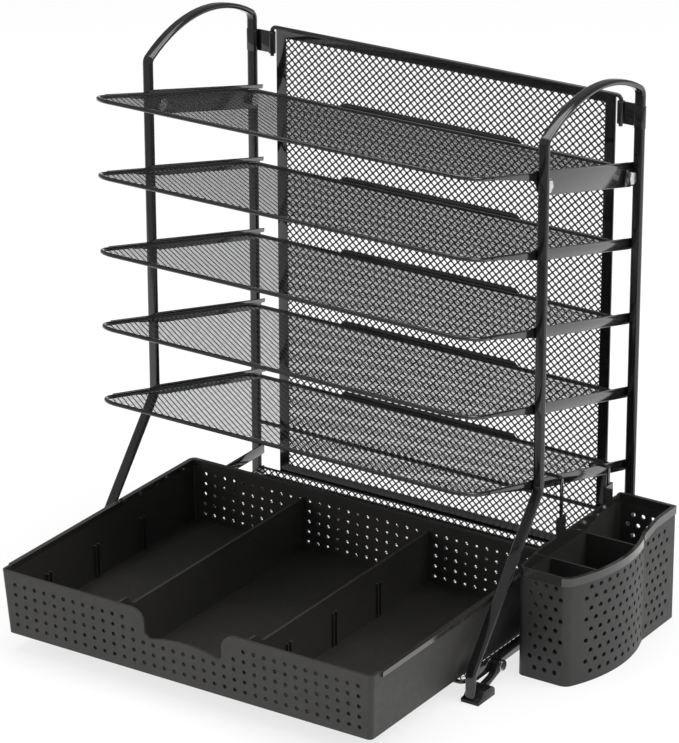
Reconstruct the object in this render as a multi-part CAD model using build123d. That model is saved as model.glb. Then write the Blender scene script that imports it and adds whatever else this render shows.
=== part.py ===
from build123d import *
import math
import os

# Desk file organizer: two bent tube side frames carry five sloping mesh trays, a mesh base with
# a pull-out drawer, a lift-out mesh back panel and a pen holder that hooks on the lowest tray.
# Lengths are in millimetres. +X is right, +Y is back and +Z is up. While the pieces are made,
# X = 0 is the middle of the stand, Y = 0 the front uprights and Z = 0 the desk top.

# General
overrun = 5.0
running_clearance = 0.3

# Side frames: one flat-sided tube each, bent in its own upright plane
frame_spacing = 320.0
tube_width = 8.0
tube_depth = 4.0
tube_edge = 1.2
upright_spacing = 128.0
front_upright_top = 370.6
arch_front_turn = 58.3
arch_rear_turn = 59.9
kink_radius = 5.0
rear_corner_radius = 8.0
leg_bend_height = 124.0
leg_reach = 85.5
leg_toe_height = 20.3
leg_bend_radius = 10.0

# Trays: rolled rim, expanded metal floor, side rails against the uprights, raised rear stop
tray_count = 5
top_tray_drop = 18.0
lowest_tray_rise = 33.6
tray_tilt = 13.9
tray_setback = 6.0
tray_rear = 120.0
tray_front_radius = 19.0
tray_rear_radius = 9.0
rim_width = 3.0
rim_height = 3.0
rim_drop = 1.5
rail_thickness = 1.0
rail_height = 8.0
top_rail_height = 17.5
rail_front_reach = 58.0
rail_lead = 8.0
stop_half_length = 72.0
stop_height = 7.0
stop_end_slope = 6.0
stop_thickness = 1.0

# Expanded metal: diamond openings between flat strands
mesh_thickness = 1.0
mesh_strand = 3.0
tray_mesh_columns = 6
tray_mesh_rows = 4
panel_mesh_columns = 6
panel_mesh_rows = 8

# Bolts of the top tray, through ears welded to the uprights
ear_thickness = 1.5
ear_height = 12.0
ear_margin = 6.0
bolt_diameter = 4.0
bolt_head_diameter = 8.5
bolt_head_height = 3.0
bolt_nut_height = 2.5
bolt_drop = 10.5
bolt_gap = 0.4

# Base tray under the drawer
base_nose = 7.5
base_tail = 1.0
base_corner = 6.0
base_flange_gap = 0.4
base_flange_height = 11.0
base_rim_rise = 5.0
base_nose_drop = 2.4
base_nose_length = 8.0
base_ledge_depth = 10.0
base_ledge_thickness = 1.2
guard_length = 71.0
guard_gap = 9.6
guard_height = 8.0

# Feet
sole = 2.0
foot_height = 8.0
foot_toe_height = 3.0
foot_width = 14.0
foot_outset = 1.2
foot_front_margin = 3.5
foot_heel = 18.0
foot_arm_thickness = 4.5
foot_arm_height = 7.0
foot_arm_reach = 42.0
foot_screw_rise = 3.4
foot_screw_setback = 4.0
rear_foot_margin = 2.5
screw_diameter = 3.6
screw_head_diameter = 8.0
screw_head_height = 2.4

# Back panel, hung by its two bent rod ends in sleeves on the rear uprights
panel_inset = 16.0
panel_drop = 2.3
panel_border = 8.0
panel_sheet = 1.2
panel_setback = 2.0
panel_rod_diameter = 2.9
panel_rod_drop = 1.4
panel_pin_inset = 12.0
panel_pin_tip = 2.0
panel_hook_radius = 3.4
sleeve_outer_diameter = 5.4
sleeve_bore_diameter = 3.4
bracket_height = 16.0
bracket_sheet = 0.6
bracket_tongue_sheet = 1.2

# Cross rod between the rear uprights
cross_rod_diameter = 3.0
cross_rod_height = 56.0
cross_rod_setback = 0.8

# Drawer, at the place where it is shown pulled out
drawer_pull = 84.0
drawer_depth = 223.0
drawer_height = 48.0
drawer_side_gap = 1.7
drawer_rear_gap = 1.6
drawer_flare = 2.8
drawer_corner = 3.5
drawer_wall = 2.2
drawer_floor = 2.4
drawer_rim_proud = 1.5
drawer_rim_height = 4.0
scoop_half_width = 31.5
scoop_depth = 22.0
scoop_hump = 5.0
scoop_top_radius = 11.0
scoop_low_radius = 4.0
divider_place = 53.0
divider_thickness = 2.0
divider_height = 39.0
divider_front_rise = 7.0
divider_front_run = 12.0
divider_front_flat = 6.0
rib_width = 1.5
rib_proud = 1.6
rib_spacing = 4.0
rib_height = 26.0
rib_chamfer = 0.6
rib_depth_shares = (0.2, 0.45, 0.7)

# Pen holder outside the right side frame
holder_gap = 2.0
holder_bottom = 1.0
holder_front = 33.0
holder_rear = 102.5
holder_front_width = 37.0
holder_bulge = 51.7
holder_bulge_place = 24.0
holder_crease_width = 44.8
holder_crease_place = 58.8
holder_rear_width = 44.5
holder_corner = 5.0
holder_front_corner = 8.0
holder_wall = 2.0
holder_floor = 2.0
holder_front_top = 81.0
holder_rear_top = 86.0
holder_inner_top = 84.0
holder_ramp_start = 55.0
holder_ramp_length = 22.0
holder_inner_ramp_start = -25.0
holder_ramp_radius = 30.0
holder_rim_proud = 0.8
holder_rim_height = 6.0
holder_divider_thickness = 1.8
holder_divider_height = 70.0
holder_divider_places = (8.0, 57.0)
hook_places = (22.0, 87.0)
hook_tab_width = 10.0
hook_tab_height = 13.0
hook_strap_width = 3.0
hook_strap_sheet = 1.2
hook_bend_radius = 2.0
hook_tip_gap = 0.8
hook_drop = 3.0

# Worked out from the sizes above
frame_half = frame_spacing / 2
inner_face = frame_half - tube_width / 2
outer_face = frame_half + tube_width / 2
tray_half = inner_face - rail_thickness
rear_upright_front = upright_spacing - tube_depth / 2
rear_upright_back = upright_spacing + tube_depth / 2
rear_turn = math.radians(arch_rear_turn)
front_turn = math.radians(arch_front_turn)
corner_run = rear_corner_radius * (1 - math.cos(rear_turn)) + kink_radius * (1 - math.cos(front_turn))
arch_radius = (upright_spacing - corner_run) / (math.cos(rear_turn) + math.cos(front_turn))
arch_fall = arch_radius * (math.sin(front_turn) - math.sin(rear_turn))
corner_fall = rear_corner_radius * math.sin(rear_turn) - kink_radius * math.sin(front_turn)
rear_upright_top = front_upright_top - arch_fall - corner_fall
base_front = leg_reach + base_nose
base_rear = rear_upright_back + base_tail
base_flange_bottom = foot_height + base_flange_gap
base_flange_top = base_flange_bottom + base_flange_height
base_rim_top = base_flange_bottom + base_rim_rise
guard_front = base_rear - guard_length
guard_bottom = base_flange_top + guard_gap
guard_top = guard_bottom + guard_height
panel_half_width = inner_face - panel_inset
panel_y = upright_spacing + panel_setback
panel_bottom = base_flange_top + running_clearance
panel_top = rear_upright_top - panel_drop
panel_rod_z = panel_top - panel_rod_drop
panel_pin_place = inner_face - panel_pin_inset
bracket_bottom = panel_rod_z - panel_hook_radius - running_clearance - bracket_height
drawer_bottom = base_rim_top + running_clearance
drawer_top = drawer_bottom + drawer_height
drawer_half_width = tray_half - drawer_side_gap - drawer_rim_proud - drawer_flare
drawer_closed_rear = base_rear - base_ledge_depth - drawer_rear_gap - drawer_rim_proud - drawer_flare
drawer_rear = drawer_closed_rear - drawer_pull
drawer_front = drawer_depth - drawer_rear
holder_inner_x = outer_face + holder_gap
hook_tab_top = holder_inner_top + hook_tab_height
tilt = math.radians(tray_tilt)
tray_front = (leg_reach - tray_setback) / math.cos(tilt)
bolt_reach = bolt_gap + bolt_head_diameter / (2 * math.cos(math.pi / 6))
top_tray_height = front_upright_top - top_tray_drop
lowest_tray_height = hook_tab_top + lowest_tray_rise
tray_pitch = (top_tray_height - lowest_tray_height) / (tray_count - 1)


def tray_place(index):
    """Middle of the rail top above the front uprights, tilted down towards the back."""
    return Location((0, 0, top_tray_height - index * tray_pitch), (-tray_tilt, 0, 0))


def upright_outline(x, y, z):
    """Cross-section of the tube where it stands upright."""
    return Plane((x, y, z)) * chamfer(Rectangle(tube_width, tube_depth).vertices(), tube_edge)


def plate_along_x(points, x_low, thickness):
    """Flat plate that faces +X, from its outline in Y and Z."""
    outline = make_face(Polyline(*points, close=True))
    return extrude(Plane.YZ.offset(x_low) * outline, thickness)


def cylinder_along_x(diameter, x_low, length, y, z):
    circle = Plane.YZ.offset(x_low) * Pos(y, z) * Circle(diameter / 2)
    return extrude(circle, length)


def expanded_metal(outline, columns, rows):
    """Sheet with two interleaved grids of diamond openings."""
    box = outline.bounding_box()
    pitch_x = box.size.X / columns
    pitch_y = box.size.Y / rows
    side_distance = pitch_x * pitch_y / (2 * math.hypot(pitch_x, pitch_y))
    open_share = 1 - mesh_strand / (2 * side_distance)
    half_x = open_share * pitch_x / 2
    half_y = open_share * pitch_y / 2
    centre = Pos(box.center().X, box.center().Y)
    places = list(GridLocations(pitch_x, pitch_y, columns, rows))
    places += list(GridLocations(pitch_x, pitch_y, columns - 1, rows - 1))
    diamond = make_face(Polyline((half_x, 0), (0, half_y), (-half_x, 0), (0, -half_y), close=True))
    openings = [(centre * place * diamond).face().outer_wire() for place in places]
    return extrude(Face(outline.face().outer_wire(), openings), mesh_thickness)


# Side frames


def frame_path():
    """Middle line of the tube, in Y and Z, from the rear foot round to the front foot."""
    leg_fall = leg_bend_height - leg_toe_height
    leg_turn = math.degrees(math.atan2(leg_reach, leg_fall))
    bend_run = leg_bend_radius * math.tan(math.radians(leg_turn) / 2)
    rear = Line((upright_spacing, sole), (upright_spacing, rear_upright_top))
    corner = JernArc(rear @ 1, rear % 1, rear_corner_radius, arch_rear_turn)
    arch = JernArc(corner @ 1, corner % 1, arch_radius, 180 - arch_rear_turn - arch_front_turn)
    kink = JernArc(arch @ 1, arch % 1, kink_radius, arch_front_turn)
    front = Line(kink @ 1, (0, leg_bend_height + bend_run))
    bend = JernArc(front @ 1, front % 1, leg_bend_radius, -leg_turn)
    leg = Line(bend @ 1, (bend @ 1) + (bend % 1) * (math.hypot(leg_reach, leg_fall) - 2 * bend_run))
    toe = JernArc(leg @ 1, leg % 1, leg_bend_radius, leg_turn)
    stub = Line(toe @ 1, (-leg_reach, sole))
    return Curve() + [rear, corner, arch, kink, front, bend, leg, toe, stub]


def bolt_spots():
    """Bolts of the top tray: place along the rail, and which way the upright lies."""
    fall = bolt_drop * math.sin(tilt)
    front_spot = (tube_depth / 2 + bolt_reach + fall) / math.cos(tilt)
    rear_spot = (rear_upright_front - bolt_reach + fall) / math.cos(tilt)
    return [(front_spot, -1), (rear_spot, 1)]


def side_frame():
    section = upright_outline(frame_half, upright_spacing, sole)
    path = Plane.YZ.offset(frame_half) * frame_path()
    frame = sweep(section, path=path.wire())
    ear_length = ear_margin + (bolt_reach + tube_depth / 2) / math.cos(tilt)
    for spot, way in bolt_spots():
        middle = spot + way * (ear_length / 2 - ear_margin)
        ear = Box(ear_thickness, ear_length, ear_height, align=(Align.MIN, Align.CENTER, Align.CENTER))
        hole = cylinder_along_x(bolt_diameter, inner_face - overrun, 2 * overrun, spot, -bolt_drop)
        frame += tray_place(0) * (Pos(inner_face, middle, -bolt_drop) * ear - hole)
    return frame


def top_tray_bolts():
    bolts = []
    for spot, way in bolt_spots():
        reach = rail_thickness + ear_thickness
        shank = cylinder_along_x(bolt_diameter, tray_half, reach, spot, -bolt_drop)
        hexagon = Pos(spot, -bolt_drop) * RegularPolygon(bolt_head_diameter / 2, 6, major_radius=False)
        head = extrude(Plane.YZ.offset(inner_face + ear_thickness) * hexagon, bolt_head_height)
        nut = extrude(Plane.YZ.offset(tray_half - bolt_nut_height) * hexagon, bolt_nut_height)
        bolt = tray_place(0) * (shank + head + nut)
        bolts += [bolt, mirror(bolt, about=Plane.YZ)]
    return Compound(children=bolts)


# Trays


def tray_outline():
    depth = tray_front + tray_rear
    outline = Pos(0, (tray_rear - tray_front) / 2) * Rectangle(2 * tray_half, depth)
    outline = fillet(outline.vertices().group_by(Axis.Y)[0], tray_front_radius)
    return fillet(outline.vertices().group_by(Axis.Y)[-1], tray_rear_radius)


def tray_rail(height):
    """Right side rail: low ahead of the front upright, full height from there to the rear one."""
    rim_top = -rim_drop
    rim_bottom = -rim_drop - rim_height
    rear = rear_upright_back / math.cos(tilt)
    points = [
        (-rail_front_reach, rim_top),
        (-rail_front_reach, rim_bottom),
        (-rail_lead, -height),
        (rear, -height),
        (rear, 0),
        (-rail_lead / 2, 0),
        (-rail_lead, rim_top),
    ]
    return plate_along_x(points, tray_half, rail_thickness)


def tray_rim(height, bolted):
    outline = tray_outline()
    hoop = extrude(outline - offset(outline, -rim_width), rim_height)
    rail = tray_rail(height)
    if bolted:
        for spot, way in bolt_spots():
            rail -= cylinder_along_x(bolt_diameter, tray_half - overrun, 2 * overrun, spot, -bolt_drop)
    rear_stop_points = [
        (-stop_half_length - stop_end_slope, -rim_drop - rim_height / 2),
        (stop_half_length + stop_end_slope, -rim_drop - rim_height / 2),
        (stop_half_length, stop_height - rim_drop),
        (-stop_half_length, stop_height - rim_drop),
    ]
    stop_plane = Plane.XZ.offset(rim_width / 2 - tray_rear)
    rear_stop = extrude(stop_plane * make_face(Polyline(*rear_stop_points, close=True)), stop_thickness)
    rim = Pos(0, 0, -rim_drop - rim_height) * hoop + rear_stop
    return rim + rail + mirror(rail, about=Plane.YZ)


def tray_mesh():
    sheet = expanded_metal(offset(tray_outline(), -rim_width), tray_mesh_columns, tray_mesh_rows)
    return Pos(0, 0, -rim_drop - rim_height / 2 - mesh_thickness / 2) * sheet


# Base tray


def base_outline():
    depth = base_front + base_rear
    outline = Pos(0, (base_rear - base_front) / 2) * Rectangle(2 * tray_half, depth)
    return fillet(outline.vertices(), base_corner)


def base_flange():
    """Right side flange with the strap that stands up behind the drawer to the rear upright."""
    points = [
        (-base_front + base_corner, base_rim_top - rim_height),
        (-base_front + base_corner, base_flange_top - base_nose_drop),
        (-base_front + base_nose_length, base_flange_top),
        (guard_front, base_flange_top),
        (guard_front, guard_top),
        (base_rear, guard_top),
        (base_rear, guard_bottom),
        (guard_front + guard_height, guard_bottom),
        (guard_front + guard_height, base_flange_top),
        (base_rear, base_flange_top),
        (base_rear, base_flange_bottom),
        (-leg_reach + base_nose_length, base_flange_bottom),
    ]
    flange = plate_along_x(points, tray_half, rail_thickness)
    screw_y, screw_z = foot_screw_spot()
    return flange - cylinder_along_x(screw_diameter, tray_half - overrun, 2 * overrun, screw_y, screw_z)


def base_frame():
    outline = base_outline()
    hoop = extrude(outline - offset(outline, -rim_width), rim_height)
    ledge = Pos(0, base_rear, base_flange_top) * Box(
        2 * tray_half, base_ledge_depth, base_ledge_thickness, align=(Align.CENTER, Align.MAX, Align.MAX)
    )
    riser = Pos(0, base_rear, base_flange_top) * Box(
        2 * (tray_half - base_corner),
        base_ledge_thickness,
        base_flange_top - base_rim_top + rim_height / 2,
        align=(Align.CENTER, Align.MAX, Align.MAX),
    )
    flange = base_flange()
    rim = Pos(0, 0, base_rim_top - rim_height) * hoop
    return rim + ledge + riser + flange + mirror(flange, about=Plane.YZ)


def base_mesh():
    sheet = expanded_metal(offset(base_outline(), -rim_width), tray_mesh_columns, tray_mesh_rows)
    return Pos(0, 0, base_rim_top - rim_height / 2 - mesh_thickness / 2) * sheet


# Feet


def foot_screw_spot():
    """Y and Z of the screw that holds the front foot's arm to the base flange."""
    return (-leg_reach + foot_arm_reach - foot_screw_setback, base_flange_bottom + foot_screw_rise)


def front_foot():
    """Boot under the front leg, with an arm that rises along the base flange to its screw."""
    toe = -leg_reach - foot_front_margin
    socket = -leg_reach + tube_depth / 2
    heel = -leg_reach + foot_heel
    boot_points = [
        (toe, 0),
        (heel, 0),
        (heel, foot_height - sole),
        (heel - sole, foot_height),
        (socket + sole, foot_height),
        (-leg_reach, foot_toe_height),
        (toe, foot_toe_height),
    ]
    boot_low = frame_half + foot_outset - foot_width / 2
    boot = plate_along_x(boot_points, boot_low, foot_width)
    upright_edges = boot.edges().filter_by(Axis.Z)
    boot = fillet(upright_edges, sole / 2)
    stub = extrude(upright_outline(frame_half, -leg_reach, sole), foot_height)
    screw_y, screw_z = foot_screw_spot()
    arm_end = -leg_reach + foot_arm_reach
    arm_top = screw_z + foot_arm_height / 2
    arm_points = [
        (socket + sole, sole),
        (heel, sole),
        (arm_end, arm_top - foot_arm_height),
        (arm_end, arm_top),
        (arm_end - foot_arm_height, arm_top),
        (socket + 2 * sole, foot_height),
    ]
    arm = plate_along_x(arm_points, inner_face, foot_arm_thickness)
    hole = cylinder_along_x(screw_diameter, inner_face - overrun, 3 * overrun, screw_y, screw_z)
    return boot - stub + (arm - hole)


def rear_foot():
    width = tube_width + 2 * rear_foot_margin
    depth = tube_depth + 4 * rear_foot_margin
    outline = Pos(frame_half, upright_spacing) * RectangleRounded(width, depth, rear_foot_margin)
    boot = extrude(outline, foot_height)
    return boot - extrude(upright_outline(frame_half, upright_spacing, sole), foot_height)


def foot_screws():
    screw_y, screw_z = foot_screw_spot()
    shank_length = rail_thickness + foot_arm_thickness
    shank = cylinder_along_x(screw_diameter, tray_half, shank_length, screw_y, screw_z)
    head_x = tray_half + shank_length
    head = cylinder_along_x(screw_head_diameter, head_x, screw_head_height, screw_y, screw_z)
    screw = shank + head
    return Compound(children=[screw, mirror(screw, about=Plane.YZ)])


# Back panel and its brackets


def panel_bracket():
    """Strap round the right rear upright, with a tongue that ends in the panel's sleeve."""
    strap = Rectangle(tube_width + 2 * bracket_sheet, tube_depth + 2 * bracket_sheet)
    wrap = Pos(frame_half, upright_spacing) * strap - upright_outline(frame_half, upright_spacing, 0)
    tongue_y = panel_y - sleeve_outer_diameter / 2
    tongue = Pos(panel_pin_place, tongue_y) * Rectangle(
        panel_pin_inset, bracket_tongue_sheet, align=(Align.MIN, Align.CENTER)
    )
    sleeve = Pos(panel_pin_place, panel_y) * Circle(sleeve_outer_diameter / 2)
    bore = Pos(panel_pin_place, panel_y) * Circle(sleeve_bore_diameter / 2)
    outline = wrap + tongue + sleeve - bore
    return Pos(0, 0, bracket_bottom) * extrude(outline, bracket_height)


def panel_frame():
    width = 2 * panel_half_width
    height = panel_top - panel_bottom
    sheet = Rectangle(width, height) - Rectangle(width - 2 * panel_border, height - 2 * panel_border)
    plane = Plane.XZ.offset(-panel_y - panel_sheet / 2)
    border = extrude(plane * Pos(0, panel_bottom + height / 2) * sheet, panel_sheet)
    pin_end = bracket_bottom - panel_pin_tip
    route = FilletPolyline(
        (-panel_pin_place, pin_end),
        (-panel_pin_place, panel_rod_z),
        (panel_pin_place, panel_rod_z),
        (panel_pin_place, pin_end),
        radius=panel_hook_radius,
    )
    path = Plane.XZ.offset(-panel_y) * route
    section = Plane((-panel_pin_place, panel_y, pin_end)) * Circle(panel_rod_diameter / 2)
    return border + sweep(section, path=path.wire())


def panel_mesh():
    width = 2 * (panel_half_width - panel_border)
    height = panel_top - panel_bottom - 2 * panel_border
    sheet = expanded_metal(Rectangle(width, height), panel_mesh_columns, panel_mesh_rows)
    plane = Plane.XZ.offset(-panel_y - mesh_thickness / 2)
    return plane * Pos(0, (panel_top + panel_bottom) / 2) * sheet


def cross_rod():
    y = upright_spacing - cross_rod_setback
    return cylinder_along_x(cross_rod_diameter, -inner_face, 2 * inner_face, y, cross_rod_height)


# Drawer


def drawer_block(inset, z_low, z_high):
    """Tapered block of the drawer's outer walls, drawn in by the inset."""
    sections = []
    for z in (z_low, z_high):
        flare = drawer_flare * (z - drawer_bottom) / drawer_height - inset
        width = 2 * (drawer_half_width + flare)
        depth = drawer_depth + 2 * flare
        outline = RectangleRounded(width, depth, drawer_corner - inset)
        sections.append(Plane((0, (drawer_rear - drawer_front) / 2, z)) * outline)
    return loft(sections, ruled=True)


def wall_reach(base, z, inset):
    """Distance of a drawer wall from the middle at height z, less the inset."""
    return base + drawer_flare * (z - drawer_bottom) / drawer_height - inset


def scoop():
    """Cut in the middle of the front wall: rounded shoulders and a low hump."""
    shoulder = scoop_half_width + scoop_top_radius + overrun
    low = drawer_top - scoop_depth
    sides = Polyline(
        (scoop_half_width, low),
        (scoop_half_width, drawer_top),
        (shoulder, drawer_top),
        (shoulder, drawer_top + overrun),
        (-shoulder, drawer_top + overrun),
        (-shoulder, drawer_top),
        (-scoop_half_width, drawer_top),
        (-scoop_half_width, low),
    )
    hump = ThreePointArc((-scoop_half_width, low), (0, low + scoop_hump), (scoop_half_width, low))
    outline = make_face(sides + hump)
    inner_corners = outline.vertices().filter_by_position(Axis.X, -scoop_half_width, scoop_half_width)
    outline = fillet(inner_corners.group_by(Axis.Y)[-1], scoop_top_radius)
    outline = fillet(outline.vertices().group_by(Axis.Y)[0], scoop_low_radius)
    depth = drawer_flare + drawer_wall + drawer_corner
    return extrude(Plane.XZ.offset(drawer_front - drawer_corner) * outline, depth)


def rib_pairs(x_low, length):
    """Pairs of upright ribs with bevelled tops, from x_low along X."""
    outline = Rectangle(rib_width, rib_height, align=(Align.CENTER, Align.MIN))
    outline = chamfer(outline.vertices().group_by(Axis.Y)[-1], rib_chamfer)
    floor_z = drawer_bottom + drawer_floor
    ribs = []
    for share in rib_depth_shares:
        for side in (-1, 1):
            y = share * drawer_depth - drawer_front + side * rib_spacing / 2
            ribs.append(extrude(Plane.YZ.offset(x_low) * Pos(y, floor_z) * outline, length))
    return ribs


def drawer_tray():
    floor_z = drawer_bottom + drawer_floor
    outer = drawer_block(0, drawer_bottom, drawer_top)
    rim = drawer_block(-drawer_rim_proud, drawer_top - drawer_rim_height, drawer_top)
    front_reach = drawer_flare + drawer_rim_proud + drawer_corner
    front_cut = Pos(0, -drawer_front, drawer_top) * Box(
        2 * (drawer_half_width + drawer_front), 2 * front_reach, 2 * drawer_rim_height
    )
    rib_x = wall_reach(drawer_half_width, floor_z, drawer_wall + rib_proud)
    rib_length = rib_proud + drawer_wall
    ribs = rib_pairs(rib_x, rib_length)
    hollow = drawer_block(drawer_wall, floor_z, drawer_top + overrun)
    tray = outer + (rim - front_cut) - hollow - scoop()
    ribs += [mirror(rib, about=Plane.YZ) for rib in ribs]
    return tray + [rib & outer for rib in ribs]


def divider():
    """Right long divider: its front end rises in a curve to the front wall."""
    floor_z = drawer_bottom + drawer_floor
    top = floor_z + divider_height
    front_top = top + divider_front_rise
    front_low_y = -wall_reach(drawer_front, floor_z, drawer_wall)
    front_top_y = -wall_reach(drawer_front, front_top, drawer_wall)
    rear_top_y = wall_reach(drawer_rear, top, drawer_wall)
    rear_low_y = wall_reach(drawer_rear, floor_z, drawer_wall)
    curve_start = front_top_y + divider_front_flat
    curve_end = curve_start + divider_front_run
    outline = make_face(
        Polyline(
            (curve_end, top),
            (rear_top_y, top),
            (rear_low_y, floor_z),
            (front_low_y, floor_z),
            (front_top_y, front_top),
            (curve_start, front_top),
        )
        + Spline((curve_start, front_top), (curve_end, top), tangents=((1, 0), (1, 0)))
    )
    low_x = divider_place - divider_thickness / 2
    plate = extrude(Plane.YZ.offset(low_x) * outline, divider_thickness)
    return plate + rib_pairs(divider_place, divider_thickness / 2 + rib_proud)


# Pen holder


def holder_outline():
    """Plan of the outside: short front wall, bulging side, crease and straight rear part."""
    x = holder_inner_x
    front_right = (x + holder_front_width, -holder_front)
    crease = (x + holder_crease_width, holder_crease_place)
    bulge = ThreePointArc(front_right, (x + holder_bulge, holder_bulge_place), crease)
    straight = Polyline(
        crease, (x + holder_rear_width, holder_rear), (x, holder_rear), (x, -holder_front), front_right
    )
    outline = make_face(bulge + straight)
    square_corners = outline.vertices().group_by(Axis.X)[0] + outline.vertices().sort_by(Axis.Y)[-1:]
    outline = fillet(square_corners, holder_corner)
    corner = outline.vertices().sort_by_distance((*front_right, 0))[0]
    return fillet(corner, holder_front_corner)


def rim_line(start, low, high, drop):
    """Side view of a wall top: level, a smooth ramp that begins at start, level again."""
    front = -holder_front - overrun
    rear = holder_rear + overrun
    return FilletPolyline(
        (front, low - drop),
        (start, low - drop),
        (start + holder_ramp_length, high - drop),
        (rear, high - drop),
        radius=holder_ramp_radius,
    )


def above(line, ceiling):
    """Face between a wall top line and a level ceiling, in Y and Z."""
    start = line @ 0
    end = line @ 1
    return make_face(line + Polyline(end, (end.X, ceiling), (start.X, ceiling), start))


def pen_holder():
    outline = holder_outline()
    inside = offset(outline, -holder_wall)
    highest = hook_tab_top + overrun
    width = holder_bulge + holder_rim_proud + overrun
    shell = extrude(outline, highest) - Pos(0, 0, holder_floor) * extrude(inside, highest)
    shell = Pos(0, 0, holder_bottom) * shell
    outer_line = rim_line(holder_ramp_start, holder_front_top, holder_rear_top, 0)
    rim_bottom_line = rim_line(holder_ramp_start, holder_front_top, holder_rear_top, holder_rim_height)
    inner_line = rim_line(holder_inner_ramp_start, holder_front_top, holder_inner_top, 0)
    ceiling = highest + holder_bottom + overrun
    outer_cut = extrude(Plane.YZ.offset(holder_inner_x + holder_wall) * above(outer_line, ceiling), width)
    inner_face_cut = above(inner_line, ceiling)
    inner_cut = extrude(Plane.YZ.offset(holder_inner_x - overrun) * inner_face_cut, overrun + holder_wall)
    band = extrude(offset(outline, holder_rim_proud) - inside, ceiling)
    below_rim = above(rim_bottom_line, ceiling) - above(outer_line, ceiling + overrun)
    rim = band & extrude(Plane.YZ.offset(holder_inner_x + holder_corner) * below_rim, width)
    holder = shell - outer_cut - inner_cut + rim
    room = Pos(0, 0, holder_bottom + holder_floor / 2) * extrude(inside, holder_divider_height)
    for y in holder_divider_places:
        wall = Pos(holder_inner_x, y, 0) * Box(
            2 * width, holder_divider_thickness, ceiling, align=(Align.CENTER, Align.CENTER, Align.MIN)
        )
        holder += room & wall
    for y in hook_places:
        tab_low = holder_front_top - holder_rim_height
        tab = Pos(holder_inner_x, y, tab_low) * Box(
            holder_wall, hook_tab_width, hook_tab_top - tab_low, align=(Align.MIN, Align.CENTER, Align.MIN)
        )
        holder += tab
    return holder


def holder_hooks():
    """Strap hooks that stand on the holder's tabs and reach over the lowest tray's rail."""
    strap_x = holder_inner_x + holder_wall / 2
    tip_x = tray_half - rim_width - hook_tip_gap - hook_strap_sheet / 2
    hooks = []
    for y in hook_places:
        rail_z = lowest_tray_height - (y - hook_strap_width / 2) * math.tan(tilt)
        over = rail_z + running_clearance + hook_strap_sheet / 2
        route = FilletPolyline(
            (strap_x, hook_tab_top),
            (strap_x, over),
            (tip_x, over),
            (tip_x, over - hook_drop),
            radius=hook_bend_radius,
        )
        path = Plane.XZ.offset(-y) * route
        section = Plane((strap_x, y, hook_tab_top)) * Rectangle(hook_strap_sheet, hook_strap_width)
        hooks.append(sweep(section, path=path.wire()))
    return Compound(children=hooks)


def all_pieces():
    right_frame = side_frame()
    right_bracket = panel_bracket()
    right_front_foot = front_foot()
    right_rear_foot = rear_foot()
    right_divider = divider()
    pieces = {
        "right_side_frame": right_frame,
        "left_side_frame": mirror(right_frame, about=Plane.YZ),
        "top_tray_bolts": top_tray_bolts(),
        "base_tray_frame": base_frame(),
        "base_tray_mesh": base_mesh(),
        "right_front_foot": right_front_foot,
        "left_front_foot": mirror(right_front_foot, about=Plane.YZ),
        "right_rear_foot": right_rear_foot,
        "left_rear_foot": mirror(right_rear_foot, about=Plane.YZ),
        "foot_screws": foot_screws(),
        "right_panel_bracket": right_bracket,
        "left_panel_bracket": mirror(right_bracket, about=Plane.YZ),
        "rear_cross_rod": cross_rod(),
        "back_panel_frame": panel_frame(),
        "back_panel_mesh": panel_mesh(),
        "drawer_tray": drawer_tray(),
        "right_divider": right_divider,
        "left_divider": mirror(right_divider, about=Plane.YZ),
        "pen_holder": pen_holder(),
        "pen_holder_hooks": holder_hooks(),
    }
    top_rim = tray_rim(top_rail_height, True)
    rim = tray_rim(rail_height, False)
    mesh = tray_mesh()
    for index in range(tray_count):
        name = f"tray_{index + 1}"
        pieces[f"{name}_rim"] = tray_place(index) * (rim if index else top_rim)
        pieces[f"{name}_mesh"] = tray_place(index) * mesh
    return pieces


def stand_on_origin(pieces):
    """Move everything so that the origin is the bottom centre of the whole organizer."""
    boxes = [piece.bounding_box() for piece in pieces.values()]
    low = [min(getattr(box.min, axis) for box in boxes) for axis in "XYZ"]
    high = [max(getattr(box.max, axis) for box in boxes) for axis in "XYZ"]
    shift = Pos(-(low[0] + high[0]) / 2, -(low[1] + high[1]) / 2, -low[2])
    return {name: shift * piece for name, piece in pieces.items()}


os.makedirs("parts", exist_ok=True)
for node, piece in stand_on_origin(all_pieces()).items():
    export_step(piece, os.path.join("parts", f"{node}.step"))
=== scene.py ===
import math

import bmesh
import bpy
from mathutils import Matrix, Vector


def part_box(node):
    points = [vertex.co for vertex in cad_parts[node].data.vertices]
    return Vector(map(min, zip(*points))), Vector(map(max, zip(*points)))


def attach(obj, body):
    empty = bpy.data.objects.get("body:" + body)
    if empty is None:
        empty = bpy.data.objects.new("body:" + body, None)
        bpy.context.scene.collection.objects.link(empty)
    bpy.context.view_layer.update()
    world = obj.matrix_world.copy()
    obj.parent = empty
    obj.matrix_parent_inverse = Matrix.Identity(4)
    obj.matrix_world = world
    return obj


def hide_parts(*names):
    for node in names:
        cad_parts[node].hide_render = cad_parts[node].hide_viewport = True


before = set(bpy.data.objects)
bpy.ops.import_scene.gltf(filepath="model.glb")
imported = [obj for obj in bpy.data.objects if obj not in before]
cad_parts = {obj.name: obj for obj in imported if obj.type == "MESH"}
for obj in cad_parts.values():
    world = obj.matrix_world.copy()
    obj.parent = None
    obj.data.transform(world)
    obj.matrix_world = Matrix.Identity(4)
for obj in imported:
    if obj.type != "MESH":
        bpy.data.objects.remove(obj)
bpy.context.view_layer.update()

MM = 0.001

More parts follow.
